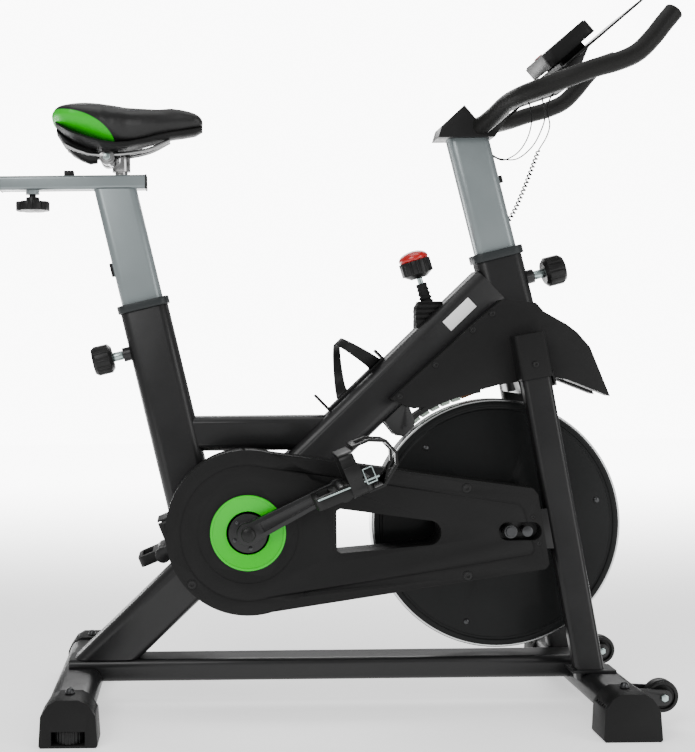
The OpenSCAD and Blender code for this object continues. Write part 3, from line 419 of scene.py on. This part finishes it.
# %% Round the hard pieces
edge_widths = {
    "main_beam": 0.0012, "seat_tube": 0.0012, "cross_tube": 0.001, "head_tube": 0.0012,
    "fork_leg_right": 0.001, "fork_leg_left": 0.001, "base_tube": 0.001, "rear_stabilizer": 0.0008,
    "front_stabilizer": 0.0008, "end_caps": 0.0012, "frame_fasteners": 0.0005,
    "post_collars": 0.0015, "belt_guard_outer": 0.0012, "belt_guard_inner": 0.0008,
    "guard_ring": 0.0008, "cover_screws": 0.0004, "head_shroud": 0.0012, "brake_housing": 0.0008,
    "bottle_cage": 0.0006, "flywheel": 0.0006, "flywheel_discs": 0.0006, "crank_right": 0.001,
    "crank_left": 0.001, "pedal_right": 0.001, "pedal_left": 0.001, "toe_cage_right": 0.0006,
    "toe_cage_left": 0.0006, "brake_knob": 0.001, "brake_arm": 0.0008, "brake_magnets": 0.0006,
    "seat_post": 0.0008, "slider_tube": 0.0008, "seat_carriage": 0.0006, "seat_pin": 0.0005,
    "seat_knob": 0.0012, "front_pin": 0.0005, "front_knob": 0.0012, "slider_knob": 0.0012,
    "front_post": 0.0008, "handlebar_mount": 0.002, "console_case": 0.0015,
    "console_button": 0.0008, "tablet_rest": 0.0008, "transport_wheel_right": 0.001,
    "transport_wheel_left": 0.001, "leveller_right": 0.0006, "leveller_left": 0.0006,
}
finished = {node: rounded_copy(node, width) for node, width in edge_widths.items()}
print(len(finished), "rounded copies,", sum(len(p.data.polygons) for p in finished.values()), "faces")

# %% [markdown]
# The few nodes that stay as they are, such as shafts, the belt and the bellows, only take a finish.

# %% Finish the plain nodes
soft_nodes = {"saddle_cushion", "saddle_base", "handlebar", "thin_wires", "curly_cord", "saddle_rails"}
plain = [node for node in frame["nodes"] if node not in finished and node not in soft_nodes]
for node in plain:
    piece = frame["nodes"][node]
    piece.data.materials.clear()
    piece.data.materials.append(finishes[slot_of[node]])
for cord in cords:
    cord.data.materials.append(finishes["black_rubber"])
print("plain nodes:", plain)

# %% [markdown]
# ## Saddle
# A saddle is foam on a plastic base, pulled tight under vinyl: broad and full at the rear, waisted,
# with a long nose that droops at its tip. The cover is lofted from cross-sections that follow the
# real plan and side view, then blown up a little as cloth so that it has the tension of stuffing.

# %% Saddle sections
# place along the saddle, half width, top, lower edge (millimetres)
saddle_sections = [
    (-336, 40, 1050, 1032), (-329, 62, 1058, 1026), (-318, 78, 1063, 1019), (-298, 88, 1065, 1008),
    (-272, 89, 1065, 998), (-246, 81, 1064, 991), (-222, 66, 1062, 989), (-200, 50, 1060, 993),
    (-176, 37, 1059, 1000), (-150, 29, 1058, 1007), (-124, 26, 1057, 1012), (-100, 25, 1055, 1015),
    (-82, 23, 1051, 1018), (-71, 18, 1045, 1021), (-66, 10, 1038, 1026),
]
RING = 28


def section_ring(x, half, top, low):
    """One cross-section: a crowned top with a shallow middle channel, full flanks, a drawn-in hem."""
    ring = []
    tall = top - low
    for k in range(RING):
        turn = 2 * math.pi * k / RING
        c, s = math.cos(turn), math.sin(turn)
        y = half * math.copysign(abs(c) ** 0.72, c)
        z = low + tall * (0.52 + 0.48 * math.copysign(abs(s) ** 0.8, s))
        if s < 0:
            y *= 1 - 0.30 * (-s)
        if s > 0.7 and half > 28:
            z -= 3.0 * (s - 0.7) / 0.3
        ring.append(from_bracket(x, y, z))
    return ring


def loft(name, rings):
    """A closed skin through rings of the same number of points."""
    mesh = bmesh.new()
    grid = [[mesh.verts.new(p) for p in ring] for ring in rings]
    for a, b in zip(grid, grid[1:]):
        for k in range(len(a)):
            n = (k + 1) % len(a)
            mesh.faces.new((a[k], a[n], b[n], b[k]))
    mesh.faces.new(grid[0][::-1])
    mesh.faces.new(grid[-1])
    bmesh.ops.recalc_face_normals(mesh, faces=mesh.faces)
    data = bpy.data.meshes.new(name)
    mesh.to_mesh(data)
    piece = bpy.data.objects.new(name, data)
    bpy.context.collection.objects.link(piece)
    return piece


cushion = loft("saddle_cushion_cover", [section_ring(*row) for row in saddle_sections])
print("saddle loft", len(cushion.data.polygons), "faces")

# %% Blow the cover up
VOXEL = 0.0045
MAX_SWELL = 0.004


def plump(piece, pressure=4.0):
    """Cloth with pressure inside it, each point kept within MAX_SWELL of where it began."""
    only(piece)
    piece.data.remesh_voxel_size = VOXEL
    bpy.ops.object.voxel_remesh()
    start = np.empty(len(piece.data.vertices) * 3)
    piece.data.vertices.foreach_get("co", start)
    start = start.reshape(-1, 3)
    cloth = piece.modifiers.new("stuffing", "CLOTH")
    cloth.settings.use_pressure = True
    cloth.settings.uniform_pressure_force = pressure
    cloth.settings.effector_weights.gravity = 0
    cloth.settings.quality = 5
    for step in range(1, 21):
        bpy.context.scene.frame_set(step)
    bpy.ops.object.modifier_apply(modifier="stuffing")
    bpy.context.scene.frame_set(1)
    now = np.empty(len(start) * 3)
    piece.data.vertices.foreach_get("co", now)
    now = now.reshape(-1, 3)
    move = now - start
    far = np.linalg.norm(move, axis=1, keepdims=True)
    move *= np.minimum(1, MAX_SWELL / np.maximum(far, 1e-9))
    piece.data.vertices.foreach_set("co", (start + move).ravel())
    even = piece.modifiers.new("even", "SMOOTH")
    even.iterations = 6
    even.factor = 0.5
    bpy.ops.object.modifier_apply(modifier="even")
    finer = piece.modifiers.new("finer", "SUBSURF")
    finer.levels = finer.render_levels = 1
    bpy.ops.object.modifier_apply(modifier="finer")
    bpy.ops.object.shade_smooth()


plump(cushion)
settle(cushion, "saddle_vinyl", "saddle", ["saddle_cushion"])
print("saddle", len(cushion.data.polygons), "faces")

# %% [markdown]
# ## Saddle shell, rails and clamp
# Under the foam sits a black plastic shell. A deep tongue hangs from it between the rails. Both are
# lofted like the cover. Two chrome wires run from sockets in the shell to the nose, pinched between
# the clamp's plates. A wire is a curve with a round bevel, turned into a mesh, which is how a bent rod
# is best described.

# %% Shell and tongue
shell_sections = [
    (-327, 46, 1036, 1022), (-314, 66, 1026, 1010), (-298, 75, 1016, 1000), (-272, 77, 1007, 989),
    (-246, 69, 1000, 983), (-222, 55, 998, 982), (-200, 41, 1001, 985), (-176, 30, 1007, 991),
    (-150, 24, 1014, 998), (-124, 22, 1019, 1004), (-100, 22, 1022, 1007), (-82, 20, 1025, 1010),
    (-69, 12, 1028, 1017),
]
tongue_sections = [
    (-327, 26, 1026, 1012), (-315, 28, 1016, 992), (-300, 26, 1008, 976), (-285, 22, 1004, 967),
    (-270, 18, 1000, 961), (-257, 13, 998, 963),
]
shell = loft("saddle_shell", [section_ring(*row) for row in shell_sections])
tongue = loft("saddle_tongue", [section_ring(*row) for row in tongue_sections])
for piece in (shell, tongue):
    only(piece)
    bpy.ops.object.shade_smooth_by_angle(angle=math.radians(50))
settle(shell, "dark_plastic", "saddle", ["saddle_base"])
settle(tongue, "black_plastic", "saddle")
print("shell and tongue made")

# %% Rods and tubes along a line
def rod(name, line, diameter, material, body, nodes=(), sides=5):
    """A solid round rod along a line, as a mesh."""
    piece = round_cord(name, line, diameter)
    piece.data.bevel_resolution = sides
    only(piece)
    bpy.ops.object.convert(target="MESH")
    bpy.ops.object.shade_smooth_by_angle(angle=math.radians(45))
    return settle(piece, material, body, nodes)


RAIL = 0.007
rail_route = [(-312, 38, 994), (-290, 31, 984), (-264, 22, 978), (-212, 22, 978), (-165, 17, 986),
              (-128, 11, 1003)]
for side, name in SIDES:
    line = smooth_line([(x, side * y, z) for x, y, z in rail_route], 10)
    rod("saddle_rail_" + name, line, RAIL, "chrome", "saddle", ["saddle_rails"])


# %% Discs, bolts and blocks
def disc(name, centre, radius, depth, axis, material, body, edge=0.0008, sides=40):
    """A round plate or boss, its rims bevelled. Axis is the way its flat face looks."""
    bpy.ops.object.select_all(action="DESELECT")
    bpy.ops.mesh.primitive_cylinder_add(vertices=sides, radius=radius, depth=depth, location=centre)
    piece = bpy.context.object
    piece.name = name
    piece.rotation_euler = Vector(axis).to_track_quat("Z", "Y").to_euler()
    bevel = piece.modifiers.new("rim", "BEVEL")
    bevel.width = edge
    bevel.segments = 2
    bevel.limit_method = "ANGLE"
    bpy.ops.object.modifier_apply(modifier="rim")
    bpy.ops.object.shade_smooth_by_angle(angle=math.radians(35))
    return settle(piece, material, body)


def hex_bolt(name, centre, size, depth, axis, material, body):
    """A hexagon head with its corners turned off."""
    return disc(name, centre, size, depth, axis, material, body, edge=size * 0.12, sides=6)


tilt = Vector(joint_of["saddle_tilt"]["pos_m"])
for side, name in SIDES:
    disc("clamp_plate_" + name, tilt + Vector((0, side * 0.021, 0)), 0.0135, 0.018, (0, 1, 0),
         "chrome", "saddle")
    disc("clamp_washer_" + name, tilt + Vector((0, side * 0.0315, 0)), 0.009, 0.003, (0, 1, 0),
         "chrome", "saddle")
    hex_bolt("clamp_nut_" + name, tilt + Vector((0, side * 0.0345, 0)), 0.0072, 0.004, (0, 1, 0),
             "zinc", "saddle")
print("rails and clamp made")

# %% [markdown]
# ## Handlebar
# The bar is one bent steel tube in a close foam sleeve. Its centre line runs out from the mount to
# each side, turns forward and rises at the grips. The ends are closed by domed plugs.

# %% Bend the handlebar
GRIP = 0.031
GRIP_HALF = 204
half_bar = [(412, 0, 1017), (419, 22, 1018), (436, 58, 1031), (450, 100, 1045), (466, 142, 1051),
            (492, GRIP_HALF - 26, 1057), (526, GRIP_HALF - 6, 1067), (565, GRIP_HALF, 1080),
            (605, GRIP_HALF, 1091), (636, GRIP_HALF, 1105), (660, GRIP_HALF, 1128),
            (678, GRIP_HALF - 1, 1150), (697, GRIP_HALF - 4, 1172)]
bar_line = smooth_line([(x, -y, z) for x, y, z in reversed(half_bar[1:])] + half_bar, 8)
rod("handlebar_foam", bar_line, GRIP, "foam", "front_post", ["handlebar"], sides=9)
for end, before in ((bar_line[0], bar_line[3]), (bar_line[-1], bar_line[-4])):
    out = (end - before).normalized()
    name = "grip_plug_" + ("right" if end.y < 0 else "left")
    disc(name, end - out * 0.0015, GRIP / 2 - 0.0012, 0.0045, out, "black_plastic", "front_post", edge=0.002)
print("handlebar", round(line_length(bar_line), 3), "m along its middle")

# %% [markdown]
# ## Small pieces
# The part leaves out things too small to matter for its fit, and they are added here, each riding the
# body that carries it: the red cap of the resistance knob, the screws of the flywheel's cover disc,
# bolts and dust caps at the cranks, black plugs in the silver tubes, the brake's felt pad, the
# console's screen, a blank label on the beam, and the pedal straps' metal buckles.

# %% Domes, blocks and wire loops
def dome(name, centre, radius, height, axis, material, body):
    """A low round cap, half sunk in what carries it."""
    bpy.ops.object.select_all(action="DESELECT")
    bpy.ops.mesh.primitive_uv_sphere_add(segments=40, ring_count=20, radius=radius, location=centre)
    piece = bpy.context.object
    piece.name = name
    piece.scale = (1, 1, height / radius)
    piece.rotation_euler = Vector(axis).to_track_quat("Z", "Y").to_euler()
    bpy.ops.object.shade_smooth()
    return settle(piece, material, body)


def block(name, centre, size, material, body, lean=0.0, edge=0.001):
    """A rectangular piece with rounded edges. Lean is its turn about the bike's width, in degrees."""
    bpy.ops.object.select_all(action="DESELECT")
    bpy.ops.mesh.primitive_cube_add(size=1, location=centre)
    piece = bpy.context.object
    piece.name = name
    piece.scale = [v / 1000 for v in size]
    bpy.ops.object.transform_apply(location=False, rotation=False, scale=True)
    piece.rotation_euler = (0, math.radians(lean), 0)
    bevel = piece.modifiers.new("edge", "BEVEL")
    bevel.width = edge
    bevel.segments = 3
    bpy.ops.object.modifier_apply(modifier="edge")
    bpy.ops.object.shade_smooth_by_angle(angle=math.radians(35))
    return settle(piece, material, body)


def leaned(start, lean, x, z):
    """A place x and z millimetres along axes that lean from a start place, on the mid-plane."""
    a = math.radians(lean)
    return start + Vector((x * math.cos(a) + z * math.sin(a), 0, -x * math.sin(a) + z * math.cos(a))) / 1000


print("helpers ready")

# %% Resistance knob, cranks and flywheel
SCREW_CIRCLE = 0.182
BOLT_CIRCLE = 0.026
BOLTS = 5
knob = Vector(joint_of["brake_knob_turn"]["pos_m"])
knob_axis = Vector(joint_of["brake_knob_turn"]["axis"])
dome("knob_cap", knob + knob_axis * 0.0165, 0.0262, 0.0135, knob_axis, "red_plastic", "brake_knob")
for turn in (132.5, 12.5, 252.5):
    a = math.radians(turn)
    for side, name in SIDES:
        spot = hub + Vector((SCREW_CIRCLE * math.cos(a), side * 0.0208, SCREW_CIRCLE * math.sin(a)))
        dome("disc_screw_%d_%s" % (turn, name), spot, 0.0052, 0.0024, (0, side, 0), "black_oxide",
             "flywheel")
for side, name in SIDES:
    dome("crank_dust_cap_" + name, bracket + Vector((0, side * 0.1415, 0)), 0.0125, 0.0055, (0, side, 0),
         "black_plastic", "crank")
    for k in range(BOLTS):
        a = math.radians(360 / BOLTS * k + 63)
        spot = bracket + Vector((BOLT_CIRCLE * math.cos(a), side * 0.1258, BOLT_CIRCLE * math.sin(a)))
        hex_bolt("hub_bolt_%s_%d" % (name, k), spot, 0.0036, 0.003, (0, side, 0), "black_oxide",
                 "crank")
print("knob cap, dust caps and bolts made")

# %% Plugs and stops of the silver tubes
SEAT_LEAN = -13
FRONT_LEAN = -13.5
for name, x in (("rear", -430.3), ("front", -170.7)):
    block("slider_plug_" + name, from_bracket(x, 0, 929.5), (3.4, 41, 26), "black_plastic",
          "seat_post", edge=0.0012)
block("slider_stop", from_bracket(-308, 0, 946), (17, 19, 11), "black_plastic", "seat_post")
seat_start = from_bracket(-176, 0, 704)
front_start = from_bracket(454, 0, 787)
block("seat_post_stop", leaned(seat_start, SEAT_LEAN, -39, 80.5), (7, 17, 24), "black_plastic",
      "seat_post", lean=SEAT_LEAN)
block("front_post_stop", leaned(front_start, FRONT_LEAN, 39, 136), (8, 15, 13), "black_plastic",
      "front_post", lean=FRONT_LEAN)
print("plugs and stops made")

# %% Brake pad, console screen and beam label
CONSOLE_LEAN = -40
block("felt_pad", from_bracket(402, 0, 548), (36, 30, 7), "brake_felt", "brake_arm", lean=-21,
      edge=0.0015)
console_start = from_bracket(568.5, 0, 1157.5)
block("console_screen", leaned(console_start, CONSOLE_LEAN, 8, 12.9), (54, 94, 0.8), "screen_glass",
      "front_post", lean=CONSOLE_LEAN, edge=0.0003)
block("beam_label", from_bracket(379, -35.1, 688), (62, 0.7, 22), "label_white", "frame",
      lean=-43.4, edge=0.0003)
print("pad, screen and label made")

# %% Transport wheel bolts and pedal buckles
PEDAL_LEAN = -22
for side, name in SIDES:
    for face in (1, -1):
        spot = from_bracket(680, side * 157 + face * 18.5, 50)
        hex_bolt("roller_bolt_%s_%s" % (name, "out" if face == side else "in"), spot, 0.0065, 0.004,
                 (0, face, 0), "zinc", "frame")
    pedal_axle = Vector(joint_of["pedal_" + name + "_spin"]["pos_m"])
    out = side * 0.0475
    corners = [(40, 2), (40, 26), (56, 26), (56, 2), (40, 2)]
    line = [leaned(pedal_axle, PEDAL_LEAN, x, z) + Vector((0, out, 0)) for x, z in corners]
    rod("strap_buckle_" + name, line, 0.0026, "zinc", "pedal_" + name)
    rail = [leaned(pedal_axle, PEDAL_LEAN, x, 7) + Vector((0, out - side * 0.002, 0))
            for x in (-44, -20, 8, 38, 62)]
    rod("pedal_edge_" + name, rail, 0.003, "zinc", "pedal_" + name)
print("bolts and buckles made")

# %% [markdown]
# The green flank is a separate panel of vinyl sewn to the black one. A line of thread follows the seam
# on both sides. Each stitch is a short bit of thread laid on the cover where the seam crosses it.

# %% Stitches
STITCH = 0.0034
STITCH_THREAD = 0.0009
SEAM_MARGIN = 0.003
SEAM_STEPS = 63
seam = []
for side in (1, -1):
    for k in range(SEAM_STEPS + 1):
        a = math.radians(-14 + 104 * k / SEAM_STEPS)
        x = PANEL_MIDDLE.x + (PANEL_HALF_LENGTH + SEAM_MARGIN) * math.cos(a)
        z = PANEL_MIDDLE.z + (PANEL_HALF_HEIGHT + SEAM_MARGIN) * math.sin(a)
        hit, spot, normal, _ = cushion.ray_cast(Vector((x, side * 0.2, z)), Vector((0, -side, 0)))
        if hit and abs(normal.y) > 0.15:
            along = Vector((-PANEL_HALF_LENGTH * math.sin(a), 0, PANEL_HALF_HEIGHT * math.cos(a)))
            along.normalize()
            along = (along - normal * along.dot(normal)).normalized()
            seam.append((spot + normal * 0.0001, along))
stitch_data = bpy.data.curves.new("saddle_stitches", "CURVE")
stitch_data.dimensions = "3D"
stitch_data.bevel_depth = STITCH_THREAD / 2
stitch_data.bevel_resolution = 1
stitch_data.use_fill_caps = True
for spot, along in seam:
    spline = stitch_data.splines.new("POLY")
    spline.points.add(1)
    spline.points[0].co = (*(spot - along * STITCH * 0.36), 1)
    spline.points[1].co = (*(spot + along * STITCH * 0.36), 1)
stitches = bpy.data.objects.new("saddle_stitches", stitch_data)
bpy.context.collection.objects.link(stitches)
only(stitches)
bpy.ops.object.convert(target="MESH")
settle(stitches, "thread", "saddle")
print(len(seam), "stitches")

# %% [markdown]
# ## Studio
# A white floor that glows brighter behind the bike, as a lit paper sweep does, and soft light from
# four large lamps: a key from the camera's left and above, a fill from the right, a strip behind to
# draw the edges of the black paint, and one overhead.

# %% Floor and lights
FLOOR_SIZE = 12
bpy.ops.object.select_all(action="DESELECT")
bpy.ops.mesh.primitive_plane_add(size=FLOOR_SIZE, location=(0, 0, -0.0005))
floor = bpy.context.object
floor.name = "studio_floor"
floor_paint = bpy.data.materials.new("studio_white")
floor_paint.use_nodes = True
paint = floor_paint.node_tree
white = paint.nodes["Principled BSDF"]
white.inputs["Base Color"].default_value = (0.94, 0.94, 0.94, 1)
white.inputs["Roughness"].default_value = 0.9
white.inputs["Emission Color"].default_value = (1, 1, 1, 1)
where = paint.nodes.new("ShaderNodeTexCoord")
split = paint.nodes.new("ShaderNodeSeparateXYZ")
glow = paint.nodes.new("ShaderNodeMapRange")
glow.interpolation_type = "SMOOTHSTEP"
glow.inputs["From Min"].default_value = 0.6
glow.inputs["From Max"].default_value = 4.0
glow.inputs["To Min"].default_value = 0.75
glow.inputs["To Max"].default_value = 9.0
paint.links.new(where.outputs["Object"], split.inputs["Vector"])
paint.links.new(split.outputs["Y"], glow.inputs["Value"])
paint.links.new(glow.outputs["Result"], white.inputs["Emission Strength"])
floor.data.materials.append(floor_paint)


def lamp(name, place, target, size, power):
    data = bpy.data.lights.new(name, "AREA")
    data.shape = "RECTANGLE"
    data.size, data.size_y = size
    data.energy = power
    light = bpy.data.objects.new(name, data)
    bpy.context.collection.objects.link(light)
    light.location = place
    light.rotation_euler = (Vector(target) - Vector(place)).to_track_quat("-Z", "Y").to_euler()
    return light


middle = (0, 0, 0.6)
lamp("key", (-1.6, -2.6, 2.6), middle, (1.8, 1.8), 66)
lamp("fill", (2.6, -2.2, 1.3), middle, (1.4, 2.2), 38)
lamp("strip", (0.4, 2.6, 2.4), middle, (3.0, 1.0), 60)
lamp("top", (0, 0, 3.4), middle, (2.2, 2.2), 32)
world = bpy.data.worlds.new("studio_air")
bpy.context.scene.world = world
world.use_nodes = True
air = world.node_tree
air.nodes["Background"].inputs["Color"].default_value = (1, 1, 1, 1)
seen = air.nodes.new("ShaderNodeLightPath")
level = air.nodes.new("ShaderNodeMapRange")
level.inputs["To Min"].default_value = 0.45
level.inputs["To Max"].default_value = 10.0
air.links.new(seen.outputs["Is Camera Ray"], level.inputs["Value"])
air.links.new(level.outputs["Result"], air.nodes["Background"].inputs["Strength"])
print("studio set")
